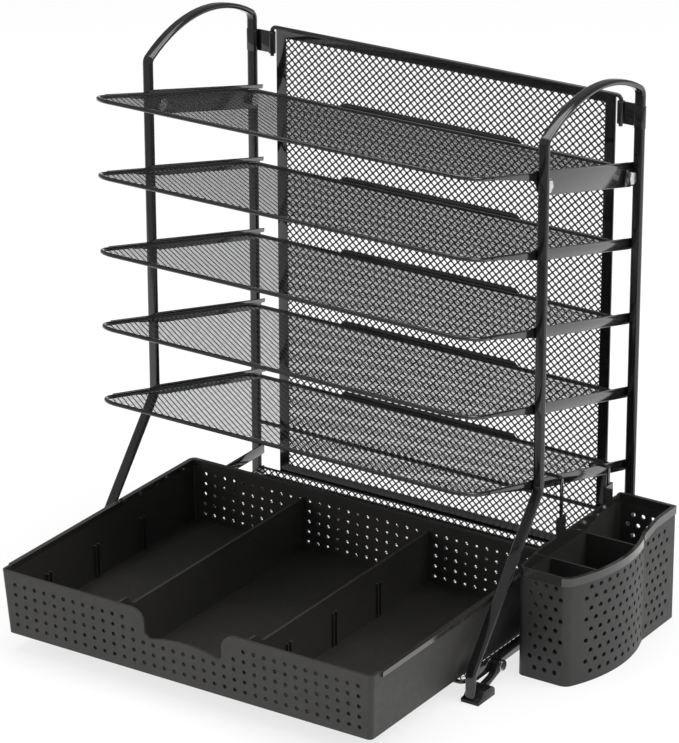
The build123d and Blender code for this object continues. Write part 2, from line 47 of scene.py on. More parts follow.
# The stand's own lengths are in millimetres: X from the middle of the stand, Y from the front
# uprights, Z from the desk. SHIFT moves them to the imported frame.
FRAME_HALF = 160.0
INNER_FACE = 156.0
UPRIGHT_SPACING = 128.0
FRONT_UPRIGHT_TOP = 370.6
LEG_REACH = 85.5
LEG_BEND = 124.0
LEG_TOE = 20.3
TRAY_HALF = 155.0
TRAY_REAR = 120.0
TILT = math.radians(13.9)
TRAY_FRONT = (LEG_REACH - 6.0) / math.cos(TILT)
TRAY_TOP, TRAY_STEP = 352.6, 55.5
RIM = 1.5
PANEL_Y = 130.0
PANEL_LOW, PANEL_HIGH = 17.4, 367.33
PIN_PLACE = 144.0
BRACKET_LOW, BRACKET_HEIGHT = 346.23, 16.0
BASE_FRONT, BASE_REAR = 86.0, 131.0
DRAWER_LOW, DRAWER_TOP = 13.7, 61.7
HOLDER_INNER, HOLDER_REACH = 166.0, -1.6

# Sections and sheets: the tube's section and the height of its ends, the sheet of rails and
# flanges, the rails' heights, the levels of the base's floor and of the lip behind it, and how far
# the drawer's walls lean out.
TUBE_HALF_WIDTH, TUBE_HALF_DEPTH = 4.0, 2.0
TUBE_END = 2.0
SHEET = 1.0
TOP_RAIL, LOW_RAIL = 17.5, 8.0
BASE_LEVEL, LIP_LEVEL = 11.9, 18.4
LIP_Y = BASE_REAR - 2.6
DRAWER_FLARE = 2.8

# Expanded metal: pitch across and along, then width and thickness of the strands and bonds.
MESH_PITCH = (5.77, 5.61)
TRAY_NET = (0.96, 0.38), (1.7, 0.5)
PANEL_NET = (1.2, 0.66), (2.05, 0.85)

SHARP_EDGE = math.radians(38.0)
QUARTER = math.radians(90.0)
SIDES = (-1, "left"), (1, "right")

frame_corner = Vector(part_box("right_side_frame")[1]) / MM
SHIFT = Vector((
    frame_corner.x - TUBE_HALF_WIDTH - FRAME_HALF,
    frame_corner.y - TUBE_HALF_DEPTH - UPRIGHT_SPACING,
    0.0,
))
STAND = Matrix.Scale(MM, 4) @ Matrix.Translation(SHIFT)

# Turns a flat outline: SIDEWAYS faces it along X, with its own x to the back and y up;
# STANDING faces it to the front, with y up.
SIDEWAYS = Matrix(((0, 0, 1, 0), (1, 0, 0, 0), (0, 1, 0, 0), (0, 0, 0, 1)))
STANDING = Matrix.Rotation(QUARTER, 4, "X")


def tray_place(index):
    """Tray lengths (across, along the slope, above the rail tops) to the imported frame."""
    lift = Matrix.Translation((0.0, 0.0, TRAY_TOP - TRAY_STEP * index))
    return STAND @ lift @ Matrix.Rotation(-TILT, 4, "X")


# Shapes


def points_in(geometry):
    return [part for part in geometry if isinstance(part, bmesh.types.BMVert)]


def everything(bm):
    return bm.verts[:] + bm.edges[:] + bm.faces[:]


def round_corner(bm, point, radius, segments=4):
    bmesh.ops.bevel(
        bm, geom=[point], offset=radius, offset_type="OFFSET", segments=segments, profile=0.5,
        affect="VERTICES", clamp_overlap=True, material=-1,
    )


def outline(corners):
    """One flat face whose corners are x, y and corner radius."""
    bm = bmesh.new()
    points = [bm.verts.new((x, y, 0.0)) for x, y, radius in corners]
    bm.faces.new(points)
    for point, (x, y, radius) in zip(points, corners):
        if radius:
            round_corner(bm, point, radius)
    bm.normal_update()
    return bm


def slab(low_x, low_y, high_x, high_y, radius=0.0):
    """One flat rectangle with equal corners."""
    corners = (low_x, low_y), (high_x, low_y), (high_x, high_y), (low_x, high_y)
    return outline([(x, y, radius) for x, y in corners])


def disc(radius, sides):
    bm = bmesh.new()
    bmesh.ops.create_circle(bm, cap_ends=True, segments=sides, radius=radius)
    return bm


def thicken(bm, depth):
    grown = bmesh.ops.extrude_face_region(bm, geom=everything(bm))["geom"]
    bmesh.ops.translate(bm, vec=(0.0, 0.0, depth), verts=points_in(grown))
    return bm


def bend_along(bm, start, heading, steps, closed=False, turn_step=6.0):
    """Draws a flat section out along straight runs (length) and bends (radius, degrees).
    The path lies in the XY plane; the section's own x stands across that plane."""
    way = Vector((math.cos(math.radians(heading)), math.sin(math.radians(heading)), 0.0))
    across = Vector((0.0, 0.0, 1.0))
    spot = Vector((*start, 0.0))
    stand_up = Matrix((across, -across.cross(way), way)).transposed().to_4x4()
    bmesh.ops.transform(bm, matrix=Matrix.Translation(spot) @ stand_up, verts=bm.verts)
    first = bm.faces[:]
    tip = everything(bm)
    for step in steps:
        if len(step) == 1:
            tip = bmesh.ops.extrude_face_region(bm, geom=tip)["geom"]
            bmesh.ops.translate(bm, vec=way * step[0], verts=points_in(tip))
            spot = spot + way * step[0]
            continue
        radius, turn = step
        centre = spot + across.cross(way) * math.copysign(radius, turn)
        angle = math.radians(turn)
        count = max(2, math.ceil(abs(turn) / turn_step))
        tip = bmesh.ops.spin(
            bm, geom=tip, cent=centre, axis=across, dvec=(0.0, 0.0, 0.0), angle=angle, steps=count,
            use_merge=False, use_normal_flip=False, use_duplicate=False,
        )["geom_last"]
        swing = Matrix.Rotation(angle, 3, across)
        spot = centre + swing @ (spot - centre)
        way = swing @ way
    if closed:
        ends = first + [part for part in tip if isinstance(part, bmesh.types.BMFace)]
        bmesh.ops.delete(bm, geom=ends, context="FACES_ONLY")
        bmesh.ops.remove_doubles(bm, verts=bm.verts, dist=0.001)
    return bm


def move(bm, matrix):
    bmesh.ops.transform(bm, matrix=matrix, verts=bm.verts)
    return bm


def add(bm, other):
    """Puts another bmesh into this one."""
    mesh = bpy.data.meshes.new("part")
    other.to_mesh(mesh)
    other.free()
    bm.from_mesh(mesh)
    bpy.data.meshes.remove(mesh)


def side_plate(bm, face, side, inner, width):
    """Adds a side view as a plate that grows outwards from its inner face, on one side (-1 or 1)."""
    low = inner if side > 0 else -inner - width
    add(bm, move(thicken(face, width), Matrix.Translation((low, 0.0, 0.0)) @ SIDEWAYS))


def repeat(bm, step, count):
    """Repeats everything along a step."""
    bmesh.ops.spin(
        bm, geom=everything(bm), cent=(0.0, 0.0, 0.0), axis=(0.0, 0.0, 1.0), dvec=step, angle=0.0,
        steps=count, use_merge=False, use_normal_flip=False, use_duplicate=True,
    )


def soften(bm, width, angle=35.0, segments=2):
    """Rounds every edge whose faces turn by more than an angle in degrees."""
    bmesh.ops.recalc_face_normals(bm, faces=bm.faces)
    limit = math.radians(angle)
    edges = [e for e in bm.edges if len(e.link_faces) == 2 and e.calc_face_angle(0.0) > limit]
    bmesh.ops.bevel(
        bm, geom=edges, offset=width, offset_type="OFFSET", segments=segments, profile=0.5,
        affect="EDGES", clamp_overlap=True, material=-1,
    )
    return bm


def finish_piece(bm, name, body, material, nodes, flat_walls=False):
    """Turns a bmesh into a piece that rides a body and stands for CAD nodes. flat_walls keeps the
    shading of broad walls even beside softened edges and holes."""
    bmesh.ops.recalc_face_normals(bm, faces=bm.faces)
    mesh = bpy.data.meshes.new(name)
    bm.to_mesh(mesh)
    bm.free()
    mesh.shade_smooth()
    mesh.set_sharp_from_angle(angle=SHARP_EDGE)
    mesh.materials.append(material)
    piece = bpy.data.objects.new(name, mesh)
    bpy.context.scene.collection.objects.link(piece)
    if flat_walls:
        weighting = piece.modifiers.new("flat_walls", "WEIGHTED_NORMAL")
        weighting.keep_sharp = True
    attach(piece, body)
    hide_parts(*nodes)


def solid_copy(node):
    """Merged copy of a CAD node with its flat faces joined up."""
    bm = bmesh.new()
    bm.from_mesh(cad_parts[node].data)
    bmesh.ops.remove_doubles(bm, verts=bm.verts, dist=0.001 * MM)
    bmesh.ops.dissolve_limit(bm, angle_limit=math.radians(0.6), verts=bm.verts, edges=bm.edges)
    return bm


def stretch(bm, axis, low, high, shift):
    """Moves the points between two places along an axis by a shift along it, in millimetres."""
    index = "XYZ".index(axis)
    vector = [0.0, 0.0, 0.0]
    vector[index] = shift * MM
    points = [point for point in bm.verts if low * MM < point.co[index] < high * MM]
    bmesh.ops.translate(bm, vec=vector, verts=points)


def punch_holes(bm, wall, radius, lead, places):
    """Cuts round holes with eased edges; each place's Z axis enters the wall at its outer face."""
    punch = disc(radius + 2 * lead, 16)
    bmesh.ops.translate(punch, vec=(0.0, 0.0, -lead), verts=punch.verts)
    tip = everything(punch)
    for depth, size in ((lead, radius), (wall - lead, radius), (wall + lead, radius + 2 * lead)):
        points = points_in(tip)
        here = points[0].co.z
        wide = math.hypot(points[0].co.x, points[0].co.y)
        tip = bmesh.ops.extrude_face_region(punch, geom=tip)["geom"]
        bmesh.ops.scale(punch, vec=(size / wide, size / wide, 1.0), verts=points_in(tip))
        bmesh.ops.translate(punch, vec=(0.0, 0.0, depth - here), verts=points_in(tip))
    bmesh.ops.recalc_face_normals(punch, faces=punch.faces)
    pattern = bpy.data.meshes.new("punch")
    punch.to_mesh(pattern)
    punch.free()
    rows = bmesh.new()
    for place in places:
        one = pattern.copy()
        one.transform(STAND @ place)
        rows.from_mesh(one)
        bpy.data.meshes.remove(one)
    bpy.data.meshes.remove(pattern)
    objects = []
    for shape in (bm, rows):
        mesh = bpy.data.meshes.new("work")
        shape.to_mesh(mesh)
        shape.free()
        objects.append(bpy.data.objects.new("work", mesh))
        bpy.context.scene.collection.objects.link(objects[-1])
    blank, cutter = objects
    modifier = blank.modifiers.new("holes", "BOOLEAN")
    modifier.object = cutter
    modifier.operation = "DIFFERENCE"
    modifier.solver = "EXACT"
    result = bmesh.new()
    result.from_object(blank, bpy.context.evaluated_depsgraph_get())
    for each in objects:
        mesh = each.data
        bpy.data.objects.remove(each)
        bpy.data.meshes.remove(mesh)
    return result


# Materials


class Wire:
    """A shader socket that takes part in sums."""

    def __init__(self, nodes, socket):
        self.nodes = nodes
        self.socket = socket

    def maths(self, operation, one, two):
        return self.nodes.node("ShaderNodeMath", {"operation": operation}, {0: one, 1: two})

    def __add__(self, other):
        return self.maths("ADD", self, other)

    def __radd__(self, other):
        return self.maths("ADD", other, self)

    def __sub__(self, other):
        return self.maths("SUBTRACT", self, other)

    def __rsub__(self, other):
        return self.maths("SUBTRACT", other, self)

    def __mul__(self, other):
        return self.maths("MULTIPLY", self, other)


class Nodes:
    """Node tree of a material or the world."""

    def __init__(self, tree):
        self.tree = tree

    def node(self, kind, settings=None, sockets=None, output=0):
        made = self.tree.nodes.new(kind)
        for key, value in (settings or {}).items():
            setattr(made, key, value)
        for key, value in (sockets or {}).items():
            self.feed(made.inputs[key], value)
        return Wire(self, made.outputs[output])

    def feed(self, socket, value):
        if isinstance(value, Wire):
            self.tree.links.new(value.socket, socket)
        else:
            socket.default_value = value

    def span(self, value, start, end, low, high, kind="LINEAR"):
        return self.node(
            "ShaderNodeMapRange", {"interpolation_type": kind},
            {"Value": value, "From Min": start, "From Max": end, "To Min": low, "To Max": high},
            "Result",
        )

    def blend(self, factor, one, two):
        colours = {0: factor, 6: (*one, 1.0), 7: (*two, 1.0)}
        return self.node("ShaderNodeMix", {"data_type": "RGBA"}, colours, 2)


class Finish(Nodes):
    """Material with one surface shader and patterns on the piece's own coordinates."""

    def __init__(self, name):
        self.material = bpy.data.materials.new(name)
        self.material.use_nodes = True
        super().__init__(self.material.node_tree)
        self.surface = self.tree.nodes["Principled BSDF"]
        self.place = self.node("ShaderNodeTexCoord", output="Object")

    def set(self, socket, value):
        self.feed(self.surface.inputs[socket], value)

    def noise(self, scale, detail=2.0, roughness=0.5):
        sockets = {"Vector": self.place, "Scale": scale, "Detail": detail, "Roughness": roughness}
        return self.node("ShaderNodeTexNoise", {}, sockets, "Fac")

    def grain(self, height, strength, depth):
        sockets = {"Height": height, "Strength": strength, "Distance": depth}
        self.set("Normal", self.node("ShaderNodeBump", {}, sockets, "Normal"))

    def along(self, axis):
        return self.node("ShaderNodeSeparateXYZ", {}, {"Vector": self.place}, axis)


def gloss_paint(name, dark, light, rough, coat):
    """Stove-enamelled steel: faint orange peel, slow change of tone, thin handling marks."""
    finish = Finish(name)
    drift = finish.noise(45.0, 3.0)
    marks = finish.noise(240.0, 6.0, 0.7)
    peel = finish.noise(620.0, 2.0, 0.5)
    finish.set("Base Color", finish.blend(finish.span(drift, 0.3, 0.7, 0.0, 1.0), dark, light))
    finish.set("Roughness", finish.span(marks, 0.35, 0.75, *rough))
    finish.set("Coat Weight", coat)
    finish.set("Coat Roughness", 0.06)
    finish.grain(peel, 0.05, 0.0002)
    return finish.material


def moulded_plastic(name, dark, light, rough, gloss=None):
    """Moulded plastic: fine spark-eroded grain, rub marks, and a polished rim where gloss is
    given as a function that makes the rim's mask."""
    finish = Finish(name)
    drift = finish.noise(26.0, 4.0)
    fine = finish.noise(2400.0, 2.0, 0.6)
    rubs = finish.noise(150.0, 5.0, 0.65)
    satin = finish.span(rubs, 0.3, 0.7, *rough)
    tone = finish.span(drift, 0.3, 0.7, 0.0, 1.0)
    grain = fine
    if gloss:
        rim = gloss(finish)
        satin = satin - rim * (satin - 0.1)
        tone = tone - rim * tone
        grain = fine - rim * (fine - 0.5)
        finish.set("Coat Weight", rim * 0.7)
        finish.set("Coat Roughness", 0.06)
    finish.set("Base Color", finish.blend(tone, dark, light))
    finish.set("Roughness", satin)
    finish.grain(grain, 0.2, 0.00022)
    return finish.material


def drawer_rim(finish):
    """Polished rim along the drawer's two sides, behind its front wall."""
    rise = finish.span(finish.along("Z"), 57.6 * MM, 57.9 * MM, 0.0, 1.0)
    off_middle = finish.along("X") - SHIFT.x * MM
    across = finish.node("ShaderNodeMath", {"operation": "ABSOLUTE"}, {0: off_middle})
    rise = rise * finish.span(across, 143.0 * MM, 144.0 * MM, 0.0, 1.0)
    behind = (-184.0 + SHIFT.y) * MM
    return rise * finish.span(finish.along("Y"), behind - MM, behind, 0.0, 1.0)


def holder_rim(finish):
    """Rim band of the pen holder, which climbs towards the back."""
    start = (55.0 + SHIFT.y) * MM
    end = start + 22.0 * MM
    line = finish.span(finish.along("Y"), start, end, 75.0 * MM, 80.0 * MM, "SMOOTHSTEP")
    return finish.span(finish.along("Z") - line, -0.1 * MM, 0.1 * MM, 0.0, 1.0)


def zinc(name):
    """Zinc-plated steel: bright, unevenly brushed."""
    finish = Finish(name)
    drift = finish.noise(300.0, 4.0)
    finish.set("Base Color", finish.blend(drift, (0.5, 0.5, 0.51), (0.75, 0.75, 0.76)))
    finish.set("Roughness", finish.span(drift, 0.3, 0.7, 0.14, 0.28))
    finish.set("Metallic", 1.0)
    return finish.material


METAL = gloss_paint("black_enamel", (0.006, 0.006, 0.007), (0.010, 0.010, 0.011), (0.1, 0.2), 0.48)
MESH = gloss_paint(
    "black_enamelled_mesh", (0.003, 0.003, 0.0035), (0.006, 0.006, 0.0065), (0.4, 0.52), 0.0
)
DRAWER = moulded_plastic(
    "drawer_plastic", (0.021, 0.020, 0.0185), (0.026, 0.0245, 0.023), (0.44, 0.56), drawer_rim
)
HOLDER = moulded_plastic(
    "holder_plastic", (0.021, 0.0205, 0.0195), (0.026, 0.025, 0.024), (0.42, 0.52), holder_rim
)
FOOT = moulded_plastic("foot_plastic", (0.008, 0.008, 0.008), (0.012, 0.012, 0.012), (0.3, 0.4))
for dull in (FOOT, MESH):
    dull.node_tree.nodes["Principled BSDF"].inputs["Specular IOR Level"].default_value = 0.3
STEEL = zinc("zinc_steel")


# Expanded metal


def expanded_metal(edge, middle, size, strand, bond):
    """Net of two crossing rows of strands with a bond at each crossing, in the XY plane.
    edge is a convex face that the net is trimmed to; strand and bond give width and thickness."""
    pitch_x, pitch_y = MESH_PITCH
    columns = math.ceil(size[0] / pitch_x) + 1
    rows = math.ceil(size[1] / pitch_y) + 1
    reach = rows * pitch_y
    net = bmesh.new()
    lean = reach * pitch_x / pitch_y
    for way in (-1, 1):
        bar = disc(0.5, 6)
        bmesh.ops.scale(bar, vec=(strand[0], strand[1], 1.0), verts=bar.verts)
        angle = math.degrees(math.atan2(reach, way * lean))
        start = (-way * lean / 2 - (columns + rows) * pitch_x / 2, -reach / 2)
        move(bar, Matrix.Rotation(QUARTER, 4, "Z"))
        bend_along(bar, start, angle, [(math.hypot(reach, lean),)])
        bmesh.ops.translate(bar, vec=(0.0, 0.0, way * strand[1] * 0.12), verts=bar.verts)
        repeat(bar, (pitch_x, 0.0, 0.0), columns + rows)
        add(net, bar)
    knots = bmesh.new()
    bmesh.ops.create_cone(
        knots, cap_ends=False, segments=4, radius1=bond[0] / 2, radius2=0.0, depth=bond[1] / 2
    )
    bmesh.ops.translate(knots, vec=(0.0, 0.0, bond[1] / 4), verts=knots.verts)
    bmesh.ops.mirror(
        knots, geom=everything(knots), matrix=Matrix.Identity(4), merge_dist=0.001, axis="Z"
    )
    corner = (-columns * pitch_x / 2, -rows * pitch_y / 2, 0.0)
    bmesh.ops.translate(knots, vec=corner, verts=knots.verts)
    repeat(knots, (pitch_x / 2, pitch_y / 2, 0.0), 1)
    repeat(knots, (pitch_x, 0.0, 0.0), columns)
    repeat(knots, (0.0, pitch_y, 0.0), rows)
    add(net, knots)
    bmesh.ops.translate(net, vec=(middle[0], middle[1], 0.0), verts=net.verts)
    face = edge.faces[:][0]
    for loop in face.loops:
        corner, after = loop.vert.co, loop.link_loop_next.vert.co
        outward = (after - corner).cross(face.normal)
        bmesh.ops.bisect_plane(
            net, geom=everything(net), dist=0.0001, plane_co=corner, plane_no=outward,
            clear_outer=True,
        )
    edge.free()
    bmesh.ops.holes_fill(net, edges=[e for e in net.edges if e.is_boundary], sides=0)
    return net


def hoop_outline(half, front, rear, front_radius, rear_radius):
    """Flat face inside a hoop, which its net is trimmed to."""
    return outline([
        (-half, -front, front_radius), (half, -front, front_radius),
        (half, rear, rear_radius), (-half, rear, rear_radius),
    ])


def rolled_hoop(half, front, rear, front_radius, rear_radius):
    """Round rim wire bent into a closed hoop, in the XY plane."""
    sides = front + rear - front_radius - rear_radius
    return bend_along(disc(RIM, 14), (-half + front_radius, -front), 0.0, [
        (2 * (half - front_radius),), (front_radius, 90.0), (sides,), (rear_radius, 90.0),
        (2 * (half - rear_radius),), (rear_radius, 90.0), (sides,), (front_radius, 90.0),
    ], closed=True)


# Trays, base and back panel


def tray_rail(height):
    """Side view of a rail: slim nose, full height behind the front upright, small lug at the back."""
    nose, rear = -58.0, PANEL_Y / math.cos(TILT)
    lug, lug_low = rear + 4.6, -3.2
    return outline([
        (nose, -1.5, 0.0), (nose, -3.4, 1.0), (-3.0, -7.0, 3.0), (6.0, -height, 1.0),
        (rear, -height, 1.5), (rear, lug_low, 0.0), (lug, lug_low, 1.0), (lug, 0.0, 1.0),
        (-4.0, 0.0, 1.5), (-8.0, -1.5, 1.5),
    ])


def tray_stop():
    """Front view of the raised lip in the middle of a tray's rear edge."""
    foot, crest, low, high = 76.0, 72.0, -3.0, 1.6
    return outline([(-foot, low, 0.0), (foot, low, 0.0), (crest, high, 2.0), (-crest, high, 2.0)])


def make_tray(index):
    """Letter tray, counted from the top: rim with rails and stop, and a floor of expanded metal."""
    name = f"tray_{index + 1}"
    hoop = TRAY_HALF - RIM, TRAY_FRONT - RIM, TRAY_REAR - RIM, 17.5, 7.5
    floor = Matrix.Translation((0.0, 0.0, -2 * RIM))
    rim = bmesh.new()
    for side in (1, -1):
        side_plate(rim, tray_rail(TOP_RAIL if index == 0 else LOW_RAIL), side, TRAY_HALF, SHEET)
    behind = Matrix.Translation((0.0, TRAY_REAR - RIM, 0.0))
    add(rim, move(thicken(tray_stop(), SHEET), behind @ STANDING))
    soften(rim, 0.42)
    add(rim, move(rolled_hoop(*hoop), floor))
    move(rim, tray_place(index))
    finish_piece(rim, f"{name}_rolled_rim", "stand", METAL, [f"{name}_rim"])
    middle = (0.0, (TRAY_REAR - TRAY_FRONT) / 2)
    size = (2 * TRAY_HALF, TRAY_FRONT + TRAY_REAR)
    net = expanded_metal(hoop_outline(*hoop), middle, size, *TRAY_NET)
    move(net, tray_place(index) @ floor)
    finish_piece(net, f"{name}_expanded_metal", "stand", MESH, [f"{name}_mesh"])


for tray in range(5):
    make_tray(tray)


def base_flange():
    """Side view of a base flange, with the strap that climbs behind the drawer to the upright."""
    low, top = 8.4, 19.4
    strap_low, strap_top = 29.0, 37.0
    climb, inside = 60.0, 68.0
    return outline([
        (-80.0, 10.4, 0.0), (-80.0, 17.0, 0.8), (-78.0, top, 1.2), (climb, top, 0.0),
        (climb, strap_top, 3.0), (BASE_REAR, strap_top, 1.0), (BASE_REAR, strap_low, 1.0),
        (inside, strap_low, 2.0), (inside, top, 0.0), (BASE_REAR, top, 1.0),
        (BASE_REAR, low, 1.0), (-72.0, low, 2.0),
    ])


def make_base():
    """Base tray: hoop and flanges, and a floor of expanded metal that is turned up at the back."""
    hoop = TRAY_HALF - RIM, BASE_FRONT - RIM, BASE_REAR - RIM, 4.5, 4.5
    level = Matrix.Translation((0.0, 0.0, BASE_LEVEL))
    rim = bmesh.new()
    for side in (1, -1):
        side_plate(rim, base_flange(), side, TRAY_HALF, SHEET)
    soften(rim, 0.3)
    add(rim, move(rolled_hoop(*hoop), level))
    lip = bend_along(disc(0.9, 10), (-TRAY_HALF, LIP_Y), 0.0, [(2 * TRAY_HALF,)])
    add(rim, move(lip, Matrix.Translation((0.0, 0.0, LIP_LEVEL))))
    move(rim, STAND)
    finish_piece(rim, "base_rolled_rim", "stand", METAL, ["base_tray_frame"])
    middle = (0.0, (BASE_REAR - BASE_FRONT) / 2)
    size = (2 * TRAY_HALF, BASE_FRONT + BASE_REAR)
    net = expanded_metal(hoop_outline(*hoop), middle, size, *TRAY_NET)
    move(net, level)
    fold = slab(-TRAY_HALF, BASE_LEVEL, TRAY_HALF, LIP_LEVEL)
    back = expanded_metal(fold, (0.0, 15.4), (2 * TRAY_HALF, 12.0), *PANEL_NET)
    add(net, move(back, Matrix.Translation((0.0, LIP_Y, 0.0)) @ STANDING))
    move(net, STAND)
    finish_piece(net, "base_expanded_metal", "stand", MESH, ["base_tray_mesh"])


def make_panel_net():
    """Expanded metal of the back panel, trimmed inside its border."""
    half, inset, width = 136.0, 4.0, 280.0
    edge = slab(-half, PANEL_LOW + inset, half, PANEL_HIGH - inset)
    middle = (0.0, (PANEL_LOW + PANEL_HIGH) / 2)
    net = expanded_metal(edge, middle, (width, PANEL_HIGH - PANEL_LOW), *PANEL_NET)
    move(net, STAND @ Matrix.Translation((0.0, PANEL_Y, 0.0)) @ STANDING)
    finish_piece(
        net, "back_panel_expanded_metal", "back_panel", MESH, ["back_panel_mesh"]
    )


make_base()
make_panel_net()


# Side frames, front feet and panel brackets


def tube_path():
    """Runs and bends of the tube from the rear foot over the arch to the front foot."""
    rear_turn, front_turn = 59.9, 58.3
    rear_radius, front_radius, leg_radius = 8.0, 5.0, 10.0
    rear, front = math.radians(rear_turn), math.radians(front_turn)
    run = rear_radius * (1 - math.cos(rear)) + front_radius * (1 - math.cos(front))
    arch = (UPRIGHT_SPACING - run) / (math.cos(rear) + math.cos(front))
    fall = arch * (math.sin(front) - math.sin(rear))
    fall += rear_radius * math.sin(rear) - front_radius * math.sin(front)
    leg_turn = math.degrees(math.atan2(LEG_REACH, LEG_BEND - LEG_TOE))
    bend = leg_radius * math.tan(math.radians(leg_turn) / 2)
    leg = math.hypot(LEG_REACH, LEG_BEND - LEG_TOE)
    return [
        (FRONT_UPRIGHT_TOP - fall - TUBE_END,), (rear_radius, rear_turn),
        (arch, 180.0 - rear_turn - front_turn), (front_radius, front_turn),
        (FRONT_UPRIGHT_TOP - LEG_BEND - bend,), (leg_radius, -leg_turn), (leg - 2 * bend,),
        (leg_radius, leg_turn), (LEG_TOE - bend - TUBE_END,),
    ]


def make_side_frame(side, word):
    """Bent tube with the two ears that take the top tray's bolts."""
    half, low, high, thick = 6.765, -16.5, -4.5, 1.5
    bm = bmesh.new()
    for middle in (9.365, 127.695):
        ear = slab(middle - half, low, middle + half, high, 2.0)
        side_plate(bm, ear, side, INNER_FACE, thick)
    soften(bm, 0.2)
    move(bm, tray_place(0))
    section = slab(-TUBE_HALF_WIDTH, -TUBE_HALF_DEPTH, TUBE_HALF_WIDTH, TUBE_HALF_DEPTH, 1.95)
    tube = bend_along(section, (UPRIGHT_SPACING, TUBE_END), 90.0, tube_path(), turn_step=4.0)
    add(bm, move(tube, STAND @ Matrix.Translation((side * FRAME_HALF, 0.0, 0.0)) @ SIDEWAYS))
    finish_piece(bm, f"{word}_bent_tube", "stand", METAL, [f"{word}_side_frame"])


def make_front_foot(side, word):
    """Boot round the leg's end, with a low arm that rises to its screw on the base flange."""
    boot = outline([
        (-89.0, 0.0, 0.0), (-67.5, 0.0, 0.0), (-67.5, 5.0, 1.5), (-70.5, 7.8, 1.5),
        (-81.5, 8.0, 1.5), (-85.5, 3.0, 1.0), (-89.0, 3.0, 1.0),
    ])
    arm = outline([
        (-76.0, 1.0, 0.0), (-67.0, 1.0, 1.0), (-46.0, 7.4, 2.0), (-43.5, 9.0, 1.5),
        (-43.5, 15.3, 3.0), (-51.0, 15.3, 3.0), (-55.5, 7.6, 3.0), (-69.0, 5.0, 2.0),
        (-76.0, 5.0, 0.0),
    ])
    bm = bmesh.new()
    for plate, inner, width in ((boot, 154.2, 14.0), (arm, INNER_FACE, 4.5)):
        side_plate(bm, plate, side, inner, width)
    move(soften(bm, 0.7, 50.0, 3), STAND)
    finish_piece(bm, f"{word}_front_boot", "stand", FOOT, [f"{word}_front_foot"])


def make_bracket(side, word):
    """Strap round the rear upright, with a tongue that ends in the sleeve for the panel's pin."""
    strap = slab(-4.35, -2.35, 4.35, 2.35, 2.2)
    move(strap, Matrix.Translation((side * FRAME_HALF, UPRIGHT_SPACING, 0.0)))
    low, high = sorted((side * (PIN_PLACE + 1.8), side * (INNER_FACE + 0.5)))
    tongue = slab(low, 129.6, high, 130.8)
    bm = bmesh.new()
    for flat in (strap, tongue):
        add(bm, thicken(flat, BRACKET_HEIGHT))
    soften(bm, 0.25, 50.0)
    bore, outside = 1.7, 2.7
    sleeve = outline([
        (bore, 0.0, 0.0), (outside, 0.0, 0.3),
        (outside, BRACKET_HEIGHT, 0.3), (bore, BRACKET_HEIGHT, 0.0),
    ])
    move(sleeve, STANDING)
    bmesh.ops.delete(sleeve, geom=sleeve.faces[:], context="FACES_ONLY")
    bmesh.ops.spin(
        sleeve, geom=everything(sleeve), cent=(0.0, 0.0, 0.0), axis=(0.0, 0.0, 1.0),
        dvec=(0.0, 0.0, 0.0), angle=math.radians(360.0), steps=28, use_merge=True,
        use_normal_flip=False, use_duplicate=False,
    )
    add(bm, move(sleeve, Matrix.Translation((side * PIN_PLACE, PANEL_Y, 0.0))))
    move(bm, STAND @ Matrix.Translation((0.0, 0.0, BRACKET_LOW)))
    finish_piece(
        bm, f"{word}_bracket_strap", "stand", METAL, [f"{word}_panel_bracket"]
    )


for side, word in SIDES:
    make_side_frame(side, word)
for side, word in SIDES:
    make_front_foot(side, word)
    make_bracket(side, word)


# Drawer and pen holder: moulded shapes with punched walls


def clear_of_scoop(x, z):
    """Whether a hole in the front wall stays off the scoop: its two slopes and its arched floor."""
    reach, floor_half, slope_end = abs(x), 30.0, 44.5
    if reach > slope_end:
        return True
    if reach < floor_half:
        return z < 39.7 + 5.0 * (1 - (x / 31.5) ** 2) - 4.2
    return z < 40.0 + (reach - floor_half)


def drawer_holes():
    """Level rows through the front wall, clear of the scoop, and through the back wall."""
    front_foot, back_foot, back_offset = -191.9, 31.1, 1.4
    top_row, row_step = 52.4, 7.7
    first_column, column_step = -140.25, 8.25
    tall = DRAWER_TOP - DRAWER_LOW
    lean = Matrix.Rotation(math.atan(DRAWER_FLARE / tall), 4, "X")
    inward = Matrix.Rotation(-QUARTER, 4, "X")
    from_front = lean @ inward
    from_back = lean.inverted() @ inward.inverted()
    places = []
    for row in range(5):
        z = top_row - row_step * row
        flare = DRAWER_FLARE * (z - DRAWER_LOW) / tall
        for column in range(35):
            x = first_column + column_step * column
            if clear_of_scoop(x, z):
                places.append(Matrix.Translation((x, front_foot - flare, z)) @ from_front)
            places.append(Matrix.Translation((x + back_offset, back_foot + flare, z)) @ from_back)
    return places


def facing(x, y, z, angle):
    """Place on an upright wall, entered against the outward direction given by its angle."""
    turn = Matrix.Rotation(angle, 4, "Z") @ Matrix.Rotation(-QUARTER, 4, "Y")
    return Matrix.Translation((x, y, z)) @ turn


